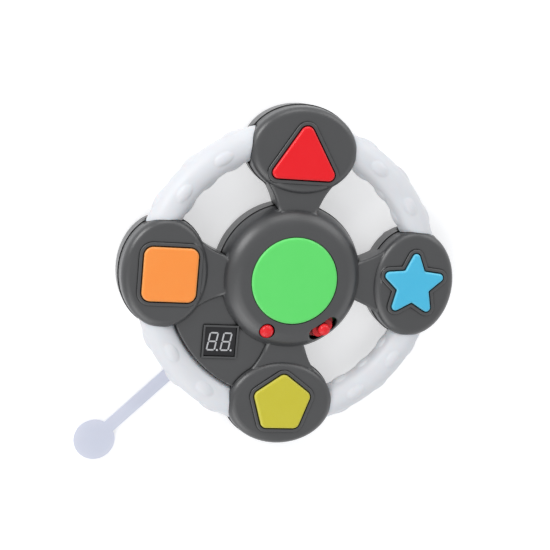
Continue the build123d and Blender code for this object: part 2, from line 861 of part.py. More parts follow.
def ribbon(points, half_width, turn_angle, name):
    """A flat cable: its upper side follows the points, outwards from the hub."""
    lower = [(x, z - ribbon_thickness) for x, z in reversed(points)]
    with BuildPart() as cable:
        with BuildSketch(Plane.XZ):
            with BuildLine():
                Polyline(*points, *lower, close=True)
            make_face()
        extrude(amount=half_width, both=True)
    with BuildPart() as placed:
        with Locations(Location((0, 0, 0), (0, 0, turn_angle))):
            add(cable.part)
    save(placed.part, name)


ribbon_start = main_board_radius - ribbon_lap
ribbon_turn = main_board_radius + overrun
lobe_board_inner = lobe_centre_radius - lobe_radial_half + board_edge_gap
lobe_ribbon_points = [
    (ribbon_start, main_board_foot), (ribbon_turn, main_board_foot),
    (ribbon_turn + ribbon_drop_run, lobe_board_foot), (lobe_board_inner + ribbon_lap, lobe_board_foot),
]
for shape, turn_angle in lobe_turns.items():
    ribbon(lobe_ribbon_points, ribbon_half_width, turn_angle, shape + "_ribbon")

display_ribbon_start = 27.6
display_ribbon_turn = 30.2
display_ribbon_foot = 31.6
display_ribbon_end = 34.4
display_ribbon_points = [
    (display_ribbon_start, main_board_foot), (display_ribbon_turn, main_board_foot),
    (display_ribbon_foot, display_board_top + ribbon_thickness),
    (display_ribbon_end, display_board_top + ribbon_thickness),
]
ribbon(display_ribbon_points, display_ribbon_half_width, display_angle, "display_ribbon")

# Display: a black module in the window, its slanted white segments, and the board behind it
digit_height = 9.1
digit_width = 4.5
digit_pitch = 6.7
segment_width = 0.7
segment_gap = 0.12
segment_rise = 0.1
slant_angle = 9
point_radius_small = 0.5
point_offset = 3.3
display_board_inner = 19.5

with BuildPart() as display_module:
    with BuildSketch(Plane.XY.offset(display_board_top)):
        with Locations((display_x, display_y)):
            Rectangle(display_width, display_height)
    extrude(amount=display_module_depth)

save(display_module.part, "display_module")


def slanted(x, y):
    """A point of a digit, leaned over by the slant of the numerals."""
    return (x + y * tan(radians(slant_angle)), y)


def bar_outline(x, y, length, upright):
    """A segment with pointed ends, centred at x and y of its digit."""
    half = length / 2 - segment_gap
    side = segment_width / 2
    along = [(-half, 0), (-half + side, side), (half - side, side),
             (half, 0), (half - side, -side), (-half + side, -side)]
    if upright:
        along = [(-b, a) for a, b in along]
    return [slanted(x + a, y + b) for a, b in along]


bar_half_height = (digit_height - segment_width) / 2
bar_half_width = (digit_width - segment_width) / 2
bars = [(0, level * bar_half_height, 2 * bar_half_width, False) for level in (-1, 0, 1)]
bars += [(side * bar_half_width, level * bar_half_height / 2, bar_half_height, True)
         for side in (-1, 1) for level in (-1, 1)]

with BuildPart() as display_digits:
    with BuildSketch(Plane.XY.offset(display_face_height)):
        with Locations((display_x, display_y)):
            for digit_side in (-1, 1):
                digit_x = digit_side * digit_pitch / 2 - segment_width / 2
                with Locations((digit_x, 0)):
                    for bar_x, bar_y, length, upright in bars:
                        Polygon(*bar_outline(bar_x, bar_y, length, upright), align=None)
                with Locations((digit_x + point_offset - slanted(0, digit_height / 2)[0], -bar_half_height)):
                    Circle(point_radius_small)
    extrude(amount=segment_rise)

save(display_digits.part, "display_digits")

with BuildPart() as display_board:
    with BuildSketch(Plane.XY.offset(display_board_top - board_thickness)):
        board_low_x = display_x - display_width / 2
        board_low_y = display_y - display_height / 2
        board_high = -display_board_inner
        Polygon((board_low_x, board_low_y), (board_high, board_low_y),
                (board_high, board_high), (board_low_x, board_high), align=None)
        with Locations(*display_boss_places):
            Circle(screw_clear_radius, mode=Mode.SUBTRACT)
    extrude(amount=board_thickness)

save(display_board.part, "display_board")

# Screws: eight through the back into the lobes, six that hold the boards in the hub and the web
screw_head_radius = 2.1
screw_head = 1.6
board_screw_head_radius = 1.9
board_screw_head = 1.2
board_screw_bite = 3.6
shell_screw_bite = 3.0


def screw_group(groups, head_radius, head_height, name):
    """Pan-headed screws that point up, with their heads under each seat height."""
    with BuildPart() as screws:
        for places, seat, length in groups:
            with BuildSketch(Plane.XY.offset(seat - head_height)):
                with Locations(*places):
                    Circle(head_radius)
            extrude(amount=head_height)
            with BuildSketch(Plane.XY.offset(seat)):
                with Locations(*places):
                    Circle(screw_shank_radius)
            extrude(amount=length)
    save(screws.part, name)


shell_screw_length = lobe_board_top + shell_screw_bite - screw_recess_depth
screw_group(((lobe_boss_places, screw_recess_depth, shell_screw_length),),
            screw_head_radius, screw_head, "shell_screws")
screw_group(((hub_boss_places, main_board_foot, board_thickness + board_screw_bite),
             (display_boss_places, display_board_top - board_thickness, board_thickness + board_screw_bite)),
            board_screw_head_radius, board_screw_head, "board_screws")

# Round push button with its pad
round_head_height = 25.1
round_head_round = 2.8
round_flange_radius = 4.2
round_flange = 0.8
round_travel = 0.8

with BuildPart() as round_button:
    with BuildSketch(Plane.XY.offset(round_seat_height - round_flange)):
        with Locations((round_button_x, round_button_y)):
            Circle(round_button_radius)
    extrude(amount=round_head_height - round_seat_height + round_flange)
    fillet(round_button.faces().sort_by(Axis.Z)[-1].edges(), round_head_round)
    with BuildSketch(Plane.XY.offset(round_seat_height - round_flange)):
        with Locations((round_button_x, round_button_y)):
            Circle(round_flange_radius)
    extrude(amount=round_flange)

save(round_button.part, "round_button")

with BuildPart() as round_pad:
    with BuildSketch(Plane.XY.offset(main_board_top)):
        with Locations((round_button_x, round_button_y)):
            Circle(round_button_radius)
    extrude(amount=round_seat_height - round_flange - main_board_top)

save(round_pad.part, "round_pad")

# Mode knob: a red block that fills the slot's width, a flange under the shell and a domed knob
knob_radius = 3.0
knob_top_height = 25.6
knob_top_round = 2.6
block_half_width = 3.0
block_half_angle = 4.4
block_top_height = 20.6
knob_flange = 0.8
knob_flange_top = 18.1
knob_flange_radius = 27.75
knob_flange_half_width = 3.45
knob_flange_half_angle = 7.0
knob_x = slot_radius * cos(radians(slot_middle_angle))
knob_y = slot_radius * sin(radians(slot_middle_angle))
wiper_length = 7.0
wiper_width = 3.0

with BuildPart() as mode_knob:
    with BuildSketch(Plane.XY.offset(block_top_height)):
        with Locations((knob_x, knob_y)):
            Circle(knob_radius)
    extrude(amount=knob_top_height - block_top_height)
    fillet(mode_knob.faces().sort_by(Axis.Z)[-1].edges(), knob_top_round)
    with BuildSketch(Plane.XY.offset(knob_flange_top - knob_flange)):
        SlotArc(CenterArc((0, 0), slot_radius, slot_middle_angle - block_half_angle, 2 * block_half_angle,
                          mode=Mode.PRIVATE), 2 * block_half_width)
    extrude(amount=block_top_height - knob_flange_top + knob_flange)
    with BuildSketch(Plane.XY.offset(knob_flange_top - knob_flange)):
        SlotArc(CenterArc((0, 0), knob_flange_radius, slot_middle_angle - knob_flange_half_angle,
                          2 * knob_flange_half_angle, mode=Mode.PRIVATE), 2 * knob_flange_half_width)
    extrude(amount=knob_flange)

save(mode_knob.part, "mode_knob")

with BuildPart() as mode_wiper:
    with BuildSketch(Plane.XY.offset(main_board_top + running_gap)):
        with Locations(Location((0, 0, 0), (0, 0, slot_middle_angle))):
            with Locations((slot_radius, 0)):
                Rectangle(wiper_width, wiper_length)
    extrude(amount=knob_flange_top - knob_flange - main_board_top - running_gap)

save(mode_wiper.part, "mode_wiper")

# Pull tab: a thin strip with a round end, drawn out through the side of the hub
with BuildPart() as pull_tab:
    with BuildSketch(Plane.XY.offset(tab_foot)):
        with Locations(Location((0, 0, 0), (0, 0, tab_angle))):
            with Locations(((tab_inner_radius + tab_end_distance) / 2, 0)):
                Rectangle(tab_end_distance - tab_inner_radius, tab_width)
            with Locations((tab_end_distance, 0)):
                Circle(tab_end_radius)
    extrude(amount=tab_thickness)

save(pull_tab.part, "pull_tab")
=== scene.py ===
from math import cos, pi, radians, sin

import bmesh
import bpy
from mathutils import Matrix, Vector


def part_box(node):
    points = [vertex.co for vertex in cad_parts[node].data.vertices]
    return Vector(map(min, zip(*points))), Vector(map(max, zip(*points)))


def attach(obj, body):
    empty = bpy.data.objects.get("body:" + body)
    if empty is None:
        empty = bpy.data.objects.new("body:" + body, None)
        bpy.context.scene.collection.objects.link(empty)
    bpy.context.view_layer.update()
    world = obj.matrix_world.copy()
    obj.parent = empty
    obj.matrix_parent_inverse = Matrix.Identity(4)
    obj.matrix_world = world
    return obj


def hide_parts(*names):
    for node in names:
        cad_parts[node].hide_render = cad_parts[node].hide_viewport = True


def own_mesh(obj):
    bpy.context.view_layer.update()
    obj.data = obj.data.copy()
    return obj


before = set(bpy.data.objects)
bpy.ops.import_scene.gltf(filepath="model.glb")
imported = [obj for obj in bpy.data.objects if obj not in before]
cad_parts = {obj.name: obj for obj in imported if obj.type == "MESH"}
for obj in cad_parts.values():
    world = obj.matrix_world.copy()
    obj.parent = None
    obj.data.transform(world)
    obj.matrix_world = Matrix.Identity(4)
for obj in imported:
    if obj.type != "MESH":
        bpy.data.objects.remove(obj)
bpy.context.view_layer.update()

# Housing. Two moulded halves of dark grey plastic with a fine satin texture. They close on
# each other at the parting line, where the back half stands out by a small step, and eight
# screws from the back hold them together.
shell_grey = (0.030, 0.031, 0.033)
shell_grey_pale = (0.037, 0.038, 0.040)
weld_reach = 1e-6


class Nodes:
    """Adds nodes to one tree, sets them up and wires their inputs."""

    def __init__(self, tree):
        self.tree = tree
        tree.nodes.clear()

    def feed(self, socket, value):
        """Gives an input a wire, each wire of a list, or else a number or colour."""
        value = getattr(value, "socket", value)
        if isinstance(value, list):
            for wire in value:
                self.feed(socket, wire)
        elif isinstance(value, bpy.types.NodeSocket):
            self.tree.links.new(value, socket)
        else:
            socket.default_value = value

    def add(self, kind, settings=(), **inputs):
        """A new node. Its inputs go by label, or by number as at0, at1 and so on."""
        node = self.tree.nodes.new(kind)
        for name, value in dict(settings).items():
            setattr(node, name, value)
        for name, value in inputs.items():
            key = int(name[2:]) if name.startswith("at") else name.replace("_", " ")
            self.feed(node.inputs[key], value)
        return node

    def maths(self, operation, *values):
        """One step of arithmetic, such as MULTIPLY."""
        node = self.add("ShaderNodeMath", {"operation": operation})
        for socket, value in zip(node.inputs, values):
            self.feed(socket, value)
        return node.outputs[0]

    def place(self):
        """Where a point of the surface lies, in the object's own metres."""
        return self.add("ShaderNodeTexCoord").outputs["Object"]

    def noise(self, place, scale, detail):
        """Soft irregular spots."""
        return self.add("ShaderNodeTexNoise", Vector=place, Scale=scale, Detail=detail).outputs["Fac"]

    def spread(self, value, low, high, from_low=0.0, from_high=1.0, ease="LINEAR"):
        """A value carried from one range to another."""
        return self.add("ShaderNodeMapRange", {"interpolation_type": ease}, Value=value,
                        From_Min=from_low, From_Max=from_high, To_Min=low, To_Max=high).outputs[0]

    def mix(self, share, one, other, way="MIX"):
        """A colour made of two others."""
        node = self.add("ShaderNodeMix", {"data_type": "RGBA", "blend_type": way}, Factor=share)
        for socket, colour in zip(node.inputs[6:8], (one, other)):
            self.feed(socket, (*colour, 1.0) if isinstance(colour, tuple) else colour)
        return node.outputs[2]

    def bump(self, height, depth):
        """Surface directions tilted by a height pattern of some depth in metres."""
        return self.add("ShaderNodeBump", Strength=1.0, Distance=depth, Height=height).outputs[0]

    def surface(self, **inputs):
        """The shader, led to the material's output."""
        shader = self.add("ShaderNodeBsdfPrincipled", **inputs)
        self.add("ShaderNodeOutputMaterial", Surface=shader.outputs[0])
        return shader


def new_material(name):
    """A material and its empty tree."""
    material = bpy.data.materials.new(name)
    material.use_nodes = True
    return material, Nodes(material.node_tree)


def satin_plastic(name, colour, second, roughness, grain_size, grain_depth, coat=0.0, glow=0.0,
                  shine=0.5, painted_gap_shade_reach=0.0):
    """Moulded plastic: two close tones, uneven gloss, a fine mould texture and painted shade in narrow
    gaps.
    """
    material, nodes = new_material(name)
    place = nodes.place()
    cloud = nodes.noise(place, scale=55.0, detail=3.0)
    tone = nodes.mix(cloud, colour, second)
    gloss = nodes.spread(cloud, roughness - 0.04, roughness + 0.05, from_low=0.3, from_high=0.7)
    grain = nodes.noise(place, scale=1.0 / grain_size, detail=2.0)
    shader = nodes.surface(
        Base_Color=tone, Roughness=gloss, Normal=nodes.bump(grain, depth=grain_depth),
        Specular_IOR_Level=shine, Coat_Weight=coat, Coat_Roughness=0.25,
        Subsurface_Weight=glow, Subsurface_Radius=(1.0, 0.7, 0.6), Subsurface_Scale=0.004)
    # Painted shade: an ambient occlusion test darkens the colour and lowers the gloss in narrow gaps and
    # creases.
    if painted_gap_shade_reach:
        painted_gap_shade = nodes.add("ShaderNodeAmbientOcclusion", {"samples": 8}, Distance=painted_gap_shade_reach)
        lit = nodes.spread(painted_gap_shade.outputs["AO"], 0.0, 1.0, from_low=0.45, from_high=0.86, ease="SMOOTHSTEP")
        nodes.feed(shader.inputs["Base Color"], nodes.mix(1.0, tone, lit, "MULTIPLY"))
        nodes.feed(shader.inputs["Specular IOR Level"], nodes.maths("MULTIPLY", lit, shine))
    return material


def moulded_piece(name, node, body, material):
    """A CAD node's own shape, with its seams welded and the CAD's own surface directions kept."""
    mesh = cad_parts[node].data.copy()
    mesh.name = name
    welded = bmesh.new()
    welded.from_mesh(mesh)
    bmesh.ops.remove_doubles(welded, verts=welded.verts, dist=weld_reach)
    welded.to_mesh(mesh)
    welded.free()
    mesh.materials.clear()
    mesh.materials.append(material)
    mesh.polygons.foreach_set("material_index", [0] * len(mesh.polygons))
    piece = bpy.data.objects.new(name, mesh)
    bpy.context.scene.collection.objects.link(piece)
    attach(piece, body)
    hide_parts(node)
    return piece


# The housing plastic darkens its narrow gaps with painted shade.
shell_plastic = satin_plastic("satin dark plastic", shell_grey, shell_grey_pale, roughness=0.36,
                              grain_size=0.0006, grain_depth=0.00002, coat=0.15, shine=0.68,
                              painted_gap_shade_reach=0.0022)
moulded_piece("housing_front", "front_shell", "housing", shell_plastic)
moulded_piece("housing_back", "back_shell", "housing", shell_plastic)

# Rim. Four hollow arcs of soft white plastic, blow-moulded with rows of oval bumps for the
# fingers: three outside, three inside, two on the face and two on the back of each arc.
# Each end sits in a tunnel in the wall of a lobe.
rim_white = (0.705, 0.718, 0.742)
rim_white_second = (0.76, 0.77, 0.79)
rim_sizes = {
    "Ring Radius": 0.0671, "Ring Height": 0.0115, "Tube Radius": 0.0077, "Arc Span": radians(57),
    "Outer Pitch": radians(17.8), "Inner Pitch": radians(13.5), "Face Pitch": radians(20.9),
    "Bump Rise": 0.001, "Bump Half Length": 0.0073, "Bump Half Width": 0.0036,
}
rim_steps_along = 240
rim_steps_around = 128
rim_weld_reach = 0.00002
quarter_turn = pi / 2


class Term:
    """A number in a tree. Arithmetic with it adds Math nodes."""

    def __init__(self, nodes, socket):
        self.nodes = nodes
        self.socket = socket

    def maths(self, operation, *others):
        return Term(self.nodes, self.nodes.maths(operation, self, *others))

    def __add__(self, other):
        return self.maths("ADD", other)

    def __sub__(self, other):
        return self.maths("SUBTRACT", other)

    def __rsub__(self, other):
        return Term(self.nodes, self.nodes.maths("SUBTRACT", other, self))

    def __mul__(self, other):
        return self.maths("MULTIPLY", other)

    def __truediv__(self, other):
        return self.maths("DIVIDE", other)

    def __lt__(self, other):
        return self.maths("LESS_THAN", other)

    def __gt__(self, other):
        return self.maths("GREATER_THAN", other)


class Grower(Nodes):
    """A tree that grows one piece from its sizes, its finish and, where it needs them, points."""

    def __init__(self, name, sizes):
        tree = bpy.data.node_groups.new(name, "GeometryNodeTree")
        tree.is_modifier = True
        super().__init__(tree)
        tree.interface.new_socket("Geometry", in_out="OUTPUT", socket_type="NodeSocketGeometry")
        tree.interface.new_socket("Geometry", in_out="INPUT", socket_type="NodeSocketGeometry")
        self.identifiers = {}
        for label in (*sizes, "Finish"):
            kind = "NodeSocketMaterial" if label == "Finish" else "NodeSocketFloat"
            socket = tree.interface.new_socket(label, in_out="INPUT", socket_type=kind)
            self.identifiers[label] = socket.identifier
        self.given = self.add("NodeGroupInput").outputs
        self.sizes = [Term(self, self.given[label]) for label in sizes]

    def vector(self, **parts):
        """A vector from its X, Y and Z. A part that is left out is 0."""
        return self.add("ShaderNodeCombineXYZ", **parts).outputs[0]

    def end(self, shape):
        """Makes every instance real, gives the shape its finish and hands it out."""
        real = self.add("GeometryNodeRealizeInstances", Geometry=shape).outputs[0]
        finished = self.add("GeometryNodeSetMaterial", Geometry=real, Material=self.given["Finish"])
        self.add("NodeGroupOutput", Geometry=finished.outputs[0])


def rim_arc_grower():
    """A grid rolled into one arc of tube, with ellipsoids half sunk in it for bumps."""
    grower = Grower("rim arc", (*rim_sizes, "Middle Angle"))
    (ring_radius, ring_height, tube_radius, arc_span, outer_pitch, inner_pitch, face_pitch,
     bump_rise, half_length, half_width, middle_angle) = grower.sizes
    grid = grower.add("GeometryNodeMeshGrid", Size_X=arc_span, Size_Y=2 * pi,
                      Vertices_X=rim_steps_along + 1, Vertices_Y=rim_steps_around + 1)
    position = grower.add("GeometryNodeInputPosition").outputs[0]
    flat = grower.add("ShaderNodeSeparateXYZ", Vector=position).outputs
    along = Term(grower, flat["X"])
    around = Term(grower, flat["Y"])

    # A row of bumps runs outside, on the face, inside and on the back of the tube.
    row = (around / quarter_turn).maths("ROUND")
    row_angle = row * quarter_turn
    on_face = row.maths("ABSOLUTE").maths("MODULO", 2.0)
    outwards = row_angle.maths("COSINE")
    side_pitch = outer_pitch * (outwards > 0.0) + inner_pitch * (outwards < 0.0)
    pitch = side_pitch * (1.0 - on_face) + face_pitch * on_face

    # The side rows have a bump at the arc's middle, and the others have one either side of it.
    stagger = on_face * 0.5
    steps = along / pitch + stagger
    nearest = steps.maths("ROUND")
    present = (nearest - stagger).maths("ABSOLUTE") < 1.25

    # A bump is an ellipse turned about its long axis. The axis is straight, and the tube curves
    # away from it outside and towards it inside.
    row_radius = ring_radius + tube_radius * outwards
    off_along = (steps - nearest) * pitch * row_radius
    share = off_along / half_length
    bump_radius = half_width * (1.0 - share * share).maths("MAXIMUM", 0.0).maths("SQRT")
    bend = off_along * off_along * outwards / (row_radius * 2.0)
    seat = bend + (tube_radius + bump_rise - half_width)
    off_around = around - row_angle
    across = seat * off_around.maths("SINE")
    crown = (bump_radius * bump_radius - across * across).maths("MAXIMUM", 0.0).maths("SQRT")
    top = seat * off_around.maths("COSINE") + crown
    rise = (top - tube_radius).maths("MAXIMUM", 0.0) * present

    # The last points at each end meet on the tube's centre line and close it.
    inside = along.maths("ABSOLUTE") < arc_span * 0.499
    radius = (tube_radius + rise) * inside
    out = ring_radius + radius * around.maths("COSINE")
    angle = middle_angle + along
    place = grower.vector(X=out * angle.maths("COSINE"), Y=out * angle.maths("SINE"),
                          Z=ring_height + radius * around.maths("SINE"))
    rolled = grower.add("GeometryNodeSetPosition", Geometry=grid.outputs["Mesh"], Position=place)
    closed = grower.add("GeometryNodeMergeByDistance", Geometry=rolled.outputs[0],
                        Distance=rim_weld_reach)
    grower.end(grower.add("GeometryNodeSetShadeSmooth", at0=closed.outputs[0]).outputs[0])
    return grower


def grown_piece(name, grower, values, base=None):
    """Runs a tree with its inputs set and keeps the result as one plain mesh."""
    piece = bpy.data.objects.new(name, base or bpy.data.meshes.new(name))
    bpy.context.scene.collection.objects.link(piece)
    grown = piece.modifiers.new("grown", "NODES")
    grown.node_group = grower.tree
    for label, value in values.items():
        grown[grower.identifiers[label]] = value
    bpy.context.view_layer.update()
    mesh = bpy.data.meshes.new_from_object(piece.evaluated_get(bpy.context.evaluated_depsgraph_get()))
    piece.modifiers.clear()
    piece.data = mesh
    mesh.name = name
    finish = mesh.materials[-1]
    mesh.materials.clear()
    mesh.materials.append(finish)
    mesh.polygons.foreach_set("material_index", [0] * len(mesh.polygons))
    facing = bmesh.new()
    facing.from_mesh(mesh)
    bmesh.ops.recalc_face_normals(facing, faces=facing.faces)
    facing.to_mesh(mesh)
    facing.free()
    return piece


rim_plastic = satin_plastic("soft white plastic", rim_white, rim_white_second, roughness=0.40,
                            grain_size=0.0008, grain_depth=0.00003, glow=0.4)
arc_grower = rim_arc_grower()
for arc_name, middle in (("upper_right", 45), ("upper_left", 135), ("lower_left", 225),
                         ("lower_right", 315)):
    arc = grown_piece("rim_" + arc_name, arc_grower,
                      {**rim_sizes, "Middle Angle": radians(middle), "Finish": rim_plastic})
    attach(arc, "housing")
    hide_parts("grip_" + arc_name)

# Shape buttons. Hollow moulded caps of translucent coloured plastic, one in each lobe and a
# round one in the hub, each lit from below by a lamp. Their rounded edges carry a painted
# highlight and their upright walls painted shade, and a flange under the front half keeps each in.
# Each entry: the cap's name, its colour and the paler colour painted on its rounded edges as a painted
# highlight.
cap_colours = {
    "triangle": ("cap_red", (0.84, 0.002, 0.009), (1.00, 0.06, 0.07)),
    "square": ("cap_orange", (1.00, 0.30, 0.050), (1.00, 0.46, 0.16)),
    "star": ("cap_blue", (0.065, 0.50, 0.75), (0.22, 0.74, 0.94)),
    "pentagon": ("cap_yellow", (0.60, 0.54, 0.035), (0.74, 0.70, 0.14)),
    "centre": ("cap_green", (0.12, 0.73, 0.15), (0.24, 0.90, 0.27)),
}


def translucent_plastic(name, colour, painted_edge_highlight_colour, roughness, coat):
    """Clear tinted plastic with a painted highlight on its rounded edges and painted shade on its
    upright walls.
    """
    material, nodes = new_material(name)
    place = nodes.place()
    facing = nodes.add("ShaderNodeTexCoord").outputs["Normal"]
    upwards = nodes.add("ShaderNodeSeparateXYZ", Vector=facing).outputs["Z"]
    # Painted highlight: faces that tilt away from straight up are mixed towards the paler edge colour.
    edge = nodes.spread(upwards, 0.0, 0.6, from_low=0.98, from_high=0.45, ease="SMOOTHSTEP")
    swirl = nodes.noise(place, scale=70.0, detail=2.0)
    swirl_and_edge_highlight = nodes.maths("MULTIPLY_ADD", swirl, 0.16, edge)
    # Painted shade: upright walls are darkened towards 0.12 of the cap's colour.
    painted_wall_shade = nodes.spread(upwards, 0.0, 0.75, from_low=0.35, from_high=0.08)
    painted_wall_shade_colour = tuple(0.12 * part for part in colour)
    tone = nodes.mix(painted_wall_shade, nodes.mix(swirl_and_edge_highlight, colour, painted_edge_highlight_colour), painted_wall_shade_colour)
    grain = nodes.noise(place, scale=1600.0, detail=2.0)
    nodes.surface(
        Base_Color=tone, Roughness=roughness, Normal=nodes.bump(grain, depth=0.000008),
        Specular_IOR_Level=0.22, Coat_Weight=coat, Coat_Roughness=0.18,
        Subsurface_Weight=0.2, Subsurface_Radius=(1.0, 1.0, 1.0), Subsurface_Scale=0.0015)
    return material


for shape, (cap_slot, colour, painted_edge_highlight_colour) in cap_colours.items():
    cap_plastic = translucent_plastic(f"translucent {shape} plastic", colour, painted_edge_highlight_colour,
                                      roughness=0.36, coat=0.2)
    moulded_piece(shape + "_cap", shape + "_button", shape + "_press", cap_plastic)

# Small controls. A round push button and the knob of the mode switch, moulded in glossy red
# plastic. Both stand out of openings in the shoulder of the hub.
# The same painted highlight on rounded edges and painted shade on upright walls as the shape buttons.
control_red = translucent_plastic("glossy red plastic", (0.80, 0.012, 0.020), (0.88, 0.022, 0.032),
                                  roughness=0.27, coat=0.3)
moulded_piece("round_cap", "round_button", "round_press", control_red)
moulded_piece("mode_slider", "mode_knob", "mode_selector", control_red)

# Display. A black moulded module in the raised frame, with slanted white segments and a point
# beside each numeral. It stands on its own small board.
display_black = satin_plastic("black display face", (0.010, 0.010, 0.012), (0.014, 0.014, 0.016),
                              roughness=0.30, grain_size=0.0010, grain_depth=0.000005, shine=0.3)
segment_white = satin_plastic("white segment", (0.50, 0.50, 0.51), (0.56, 0.56, 0.57),
                              roughness=0.35, grain_size=0.0010, grain_depth=0.000005)
moulded_piece("display_face", "display_module", "housing", display_black)
moulded_piece("display_segments", "display_digits", "housing", segment_white)

# Pull tab. A strip of thin white film with a round end, cut from sheet. It is drawn out through
# a slot in the side of the hub, and its inner end lies flat under the first cell.
tab_film = satin_plastic("white tab film", (0.64, 0.66, 0.78), (0.70, 0.72, 0.83), roughness=0.35,
                         grain_size=0.0030, grain_depth=0.00002, glow=0.2)
moulded_piece("tab_strip", "pull_tab", "tab", tab_film)

# Battery door. A moulded plate of the housing's own plastic, flush with the back over the
# cells. Two screws hold it.
moulded_piece("door_plate", "battery_door", "door", shell_plastic)

# Contacts and wiper. Strips pressed from sheet metal: nickel-plated ones at the ends of the
# cells, and a brass one that the mode knob slides over the main board.


def plain_metal(name, colour, roughness, scratch_size):
    """Bare or plated metal with faint scratches along one direction."""
    material, nodes = new_material(name)
    stretched = nodes.add("ShaderNodeMapping", Vector=nodes.place(), Scale=(1.0, 6.0, 1.0))
    scratches = nodes.noise(stretched.outputs[0], scale=1.0 / scratch_size, detail=4.0)
    nodes.surface(Base_Color=(*colour, 1.0), Metallic=1.0,
                  Roughness=nodes.spread(scratches, roughness - 0.08, roughness + 0.1),
                  Normal=nodes.bump(scratches, depth=0.00001))
    return material


nickel = plain_metal("nickel plated strip", (0.72, 0.71, 0.68), roughness=0.25, scratch_size=0.0015)
brass = plain_metal("sheet brass", (0.72, 0.52, 0.24), roughness=0.30, scratch_size=0.0015)
moulded_piece("cell_contacts", "battery_contacts", "housing", nickel)
moulded_piece("switch_wiper", "mode_wiper", "mode_selector", brass)

# Screws. Small pan-headed screws of zinc-plated steel for plastic, with a cross recess and a
# coarse rolled thread. Two hold the battery door, eight close the housing from the back, and
# six hold the boards.
shank_radius = 0.0010
thread_pitch = 0.0009
core_share = 0.76
ridge_share = 0.20
crown_share = 0.78
recess_length_share = 1.15
recess_width_share = 0.28


def screw_grower():
    """Sets one screw on each point, head downwards, with the head's seat at the point."""
    grower = Grower("screws", ("Head Radius", "Head Height", "Shank Radius", "Shank Length"))
    head_radius, head_height, shank, length = grower.sizes

    def raised(shape, height):
        moved = grower.add("GeometryNodeTransform", Geometry=shape, Translation=grower.vector(Z=height))
        return moved.outputs[0]

    pan = grower.add("GeometryNodeMeshCone", Vertices=40, Side_Segments=1, Radius_Top=head_radius,
                     Radius_Bottom=head_radius * crown_share, Depth=head_height * 0.5)
    brim = grower.add("GeometryNodeMeshCylinder", Vertices=40, Radius=head_radius,
                      Depth=head_height * 0.52)
    head = grower.add("GeometryNodeMeshBoolean", {"operation": "UNION", "solver": "EXACT"},
                      at1=[raised(pan.outputs["Mesh"], head_height * -1.0),
                           raised(brim.outputs["Mesh"], head_height * -0.26)])
    blade = head_radius * recess_length_share
    thickness = head_radius * recess_width_share
    cross = []
    for width, breadth in ((blade, thickness), (thickness, blade)):
        size = grower.vector(X=width, Y=breadth, Z=head_height * 1.1)
        block = grower.add("GeometryNodeMeshCube", Size=size).outputs["Mesh"]
        cross.append(raised(block, head_height * -1.0))
    recessed = grower.add("GeometryNodeMeshBoolean", {"operation": "DIFFERENCE", "solver": "EXACT"},
                          at0=head.outputs[0], at1=cross)
    core = grower.add("GeometryNodeMeshCylinder", Vertices=24, Radius=shank * core_share, Depth=length)
    thread_radius = shank * (1.0 - ridge_share)
    winding = grower.add("GeometryNodeCurveSpiral", Resolution=14, Rotations=length / thread_pitch,
                         Start_Radius=thread_radius, End_Radius=thread_radius, Height=length * 0.94)
    ridge = grower.add("GeometryNodeCurvePrimitiveCircle", Resolution=4, Radius=shank * ridge_share)
    thread = grower.add("GeometryNodeCurveToMesh", Curve=winding.outputs[0],
                        Profile_Curve=ridge.outputs[0], Fill_Caps=True)
    screw = grower.add("GeometryNodeJoinGeometry",
                       Geometry=[recessed.outputs[0], raised(core.outputs["Mesh"], length * 0.5),
                                 raised(thread.outputs[0], length * 0.03)])
    placed = grower.add("GeometryNodeInstanceOnPoints", Points=grower.given["Geometry"],
                        Instance=screw.outputs[0])
    grower.end(placed.outputs[0])
    return grower


def loose_solids(node):
    """The lowest and the highest corner of each separate solid of a CAD node."""
    shapes = bmesh.new()
    shapes.from_mesh(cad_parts[node].data)
    bmesh.ops.remove_doubles(shapes, verts=shapes.verts, dist=weld_reach)
    waiting = dict.fromkeys(shapes.verts)
    boxes = []
    while waiting:
        # The list grows as the loop walks it, until no neighbour is left.
        solid = [waiting.popitem()[0]]
        for point in solid:
            for edge in point.link_edges:
                neighbour = edge.other_vert(point)
                if neighbour in waiting:
                    del waiting[neighbour]
                    solid.append(neighbour)
        sides = list(zip(*(point.co for point in solid)))
        boxes.append((Vector([min(side) for side in sides]), Vector([max(side) for side in sides])))
    shapes.free()
    return sorted(boxes, key=lambda box: tuple(round(part, 5) for part in box[0]))


def point_mesh(name, places):
    """A mesh of loose points."""
    mesh = bpy.data.meshes.new(name)
    mesh.from_pydata(places, [], [])
    return mesh


zinc = plain_metal("zinc plated steel", (0.60, 0.60, 0.62), roughness=0.32, scratch_size=0.0012)
screws = screw_grower()
for name, node, body, head_height in (("door_fixings", "battery_door_screws", "door", 0.0009),
                                      ("back_fixings", "shell_screws", "housing", 0.0016),
                                      ("board_fixings", "board_screws", "housing", 0.0012)):
    solids = loose_solids(node)
    seats = []
    for low, high in solids:
        middle = (low + high) / 2
        seats.append((middle.x, middle.y, low.z + head_height))
    head_radius = round((high - low).x / 2, 6)
    shank_length = round((high - low).z - head_height, 6)
    fixings = grown_piece(name, screws, {
        "Head Radius": head_radius, "Head Height": head_height, "Shank Radius": shank_radius,
        "Shank Length": shank_length, "Finish": zinc}, point_mesh(name, seats))
    fixings.data.set_sharp_from_angle(angle=radians(30))
    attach(fixings, body)
    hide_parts(node)

# Battery springs. A nickel-plated plate with a conical coil of wire at the flat end of each
# cell, pressed against it. The middle one faces the other way.
spring_sizes = {"Plate Width": 0.0086, "Plate Thickness": 0.0004, "Coil Length": 0.0021,
                "Base Radius": 0.0031, "Tip Radius": 0.0019, "Wire Radius": 0.00028}
spring_turns = 4.0


